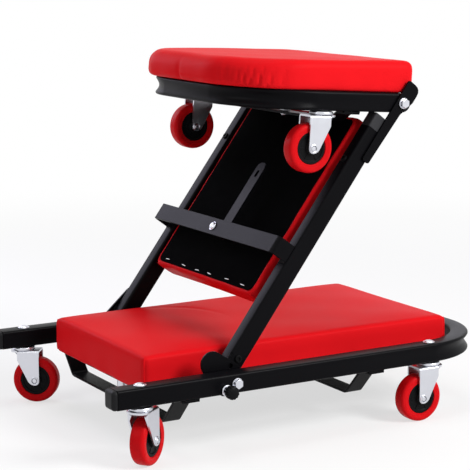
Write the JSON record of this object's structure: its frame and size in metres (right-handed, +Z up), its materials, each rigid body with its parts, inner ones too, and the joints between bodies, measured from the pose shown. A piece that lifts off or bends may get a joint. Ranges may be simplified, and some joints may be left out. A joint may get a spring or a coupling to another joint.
{
  "type": "folding mechanic creeper",
  "caption": "Z-folding mechanic creeper: rolling padded base in a bent tube frame, hinged mid section and padded seat on swivel casters.",
  "frame": {"origin": "on the floor under the middle of the standing seat's bounding box", "axes": "+X towards the closed end of the base frame, +Y to the far side in the picture, +Z up"},
  "size_m": [0.582, 0.4252, 0.4927],
  "materials": {
    "black_powder_coat": "satin",
    "red_vinyl": "semi-gloss vinyl",
    "black_board": "matte black",
    "black_plastic": "matte",
    "bright_zinc": "bright zinc",
    "red_polyurethane": "semi-gloss"
  },
  "bodies": {
    "base": {"base_frame": "black_powder_coat", "base_cap_near": "black_plastic", "base_cap_far": "black_plastic", "base_bar_left": "black_powder_coat", "base_bar_right": "black_powder_coat", "base_post_left": "bright_zinc", "base_post_right": "bright_zinc", "base_board": "black_board", "base_cushion": "red_vinyl", "lower_pivot_near": "bright_zinc", "lower_pivot_far": "bright_zinc", "lock_collar_near": "bright_zinc", "lock_collar_far": "bright_zinc", "caster_stem_left_near": "bright_zinc", "caster_stem_left_far": "bright_zinc", "caster_stem_right_near": "bright_zinc", "caster_stem_right_far": "bright_zinc"},
    "mid": {"mid_rail_near": "black_powder_coat", "mid_rail_far": "black_powder_coat", "stop_block_near": "black_plastic", "stop_block_far": "black_plastic", "hinge_plate_near": "black_powder_coat", "hinge_plate_far": "black_powder_coat", "upper_bracket_near": "black_powder_coat", "upper_bracket_far": "black_powder_coat", "mid_bar": "black_powder_coat", "mid_strap": "black_powder_coat", "mid_post": "bright_zinc", "mid_board": "black_board", "mid_cushion": "red_vinyl", "upper_pivot_near": "bright_zinc", "upper_pivot_far": "bright_zinc"},
    "seat": {"seat_frame": "black_powder_coat", "seat_cap_near": "black_plastic", "seat_cap_far": "black_plastic", "seat_bar": "black_powder_coat", "seat_post": "bright_zinc", "seat_board": "black_board", "seat_cushion": "red_vinyl", "caster_stem_seat_near": "bright_zinc", "caster_stem_seat_far": "bright_zinc"},
    "lock_near": {"lock_pin_near": "black_plastic"},
    "lock_far": {"lock_pin_far": "black_plastic"},
    "fork_left_near": {"caster_fork_left_near": "bright_zinc"},
    "wheel_left_near": {"caster_wheel_left_near": "red_polyurethane"},
    "fork_left_far": {"caster_fork_left_far": "bright_zinc"},
    "wheel_left_far": {"caster_wheel_left_far": "red_polyurethane"},
    "fork_right_near": {"caster_fork_right_near": "bright_zinc"},
    "wheel_right_near": {"caster_wheel_right_near": "red_polyurethane"},
    "fork_right_far": {"caster_fork_right_far": "bright_zinc"},
    "wheel_right_far": {"caster_wheel_right_far": "red_polyurethane"},
    "fork_seat_near": {"caster_fork_seat_near": "bright_zinc"},
    "wheel_seat_near": {"caster_wheel_seat_near": "red_polyurethane"},
    "fork_seat_far": {"caster_fork_seat_far": "bright_zinc"},
    "wheel_seat_far": {"caster_wheel_seat_far": "red_polyurethane"}
  },
  "joints": [
    {"name": "mid_fold", "type": "hinge", "parent": "base", "child": "mid", "pos_m": [-0.123, 0, 0.0918], "axis": [0, -1, 0], "range_deg": [0, 128.6]},
    {"name": "seat_fold", "type": "hinge", "parent": "mid", "child": "seat", "pos_m": [0.14259, 0, 0.42449], "axis": [0, 1, 0], "range_deg": [0, 124.5]},
    {"name": "lock_near_pull", "type": "slide", "parent": "base", "child": "lock_near", "axis": [0, -1, 0], "range_m": [0, 0.008], "stiffness_N_per_m": 1200, "springref_m": -0.004},
    {"name": "lock_far_pull", "type": "slide", "parent": "base", "child": "lock_far", "axis": [0, 1, 0], "range_m": [0, 0.008], "stiffness_N_per_m": 1200, "springref_m": -0.004},
    {"name": "swivel_left_near", "type": "hinge", "parent": "base", "child": "fork_left_near", "pos_m": [-0.2515, -0.1805, 0.0793], "axis": [0, 0, 1], "continuous": true},
    {"name": "spin_left_near", "type": "hinge", "parent": "fork_left_near", "child": "wheel_left_near", "pos_m": [-0.23792, -0.17027, 0.03175], "axis": [0.6018, -0.7986, 0], "continuous": true},
    {"name": "swivel_left_far", "type": "hinge", "parent": "base", "child": "fork_left_far", "pos_m": [-0.2515, 0.1805, 0.0793], "axis": [0, 0, 1], "continuous": true},
    {"name": "spin_left_far", "type": "hinge", "parent": "fork_left_far", "child": "wheel_left_far", "pos_m": [-0.23792, 0.17027, 0.03175], "axis": [-0.6018, -0.7986, 0], "continuous": true},
    {"name": "swivel_right_near", "type": "hinge", "parent": "base", "child": "fork_right_near", "pos_m": [0.179, -0.1805, 0.0793], "axis": [0, 0, 1], "continuous": true},
    {"name": "spin_right_near", "type": "hinge", "parent": "fork_right_near", "child": "wheel_right_near", "pos_m": [0.162, -0.1805, 0.03175], "axis": [0, 1, 0], "continuous": true},
    {"name": "swivel_right_far", "type": "hinge", "parent": "base", "child": "fork_right_far", "pos_m": [0.179, 0.1805, 0.0793], "axis": [0, 0, 1], "continuous": true},
    {"name": "spin_right_far", "type": "hinge", "parent": "fork_right_far", "child": "wheel_right_far", "pos_m": [0.16237, 0.17697, 0.03175], "axis": [-0.2079, 0.9781, 0], "continuous": true},
    {"name": "swivel_seat_near", "type": "hinge", "parent": "seat", "child": "fork_seat_near", "pos_m": [0.02429, -0.1544, 0.42044], "axis": [0.0715, 0, 0.9974], "range_deg": [-110, 110]},
    {"name": "spin_seat_near", "type": "hinge", "parent": "fork_seat_near", "child": "wheel_seat_near", "pos_m": [0.00394, -0.1544, 0.37423], "axis": [0, 1, 0], "continuous": true},
    {"name": "swivel_seat_far", "type": "hinge", "parent": "seat", "child": "fork_seat_far", "pos_m": [0.02429, 0.1544, 0.42044], "axis": [0.0715, 0, 0.9974], "range_deg": [-110, 110]},
    {"name": "spin_seat_far", "type": "hinge", "parent": "fork_seat_far", "child": "wheel_seat_far", "pos_m": [0.00394, 0.1544, 0.37423], "axis": [0, 1, 0], "continuous": true}
  ]
}
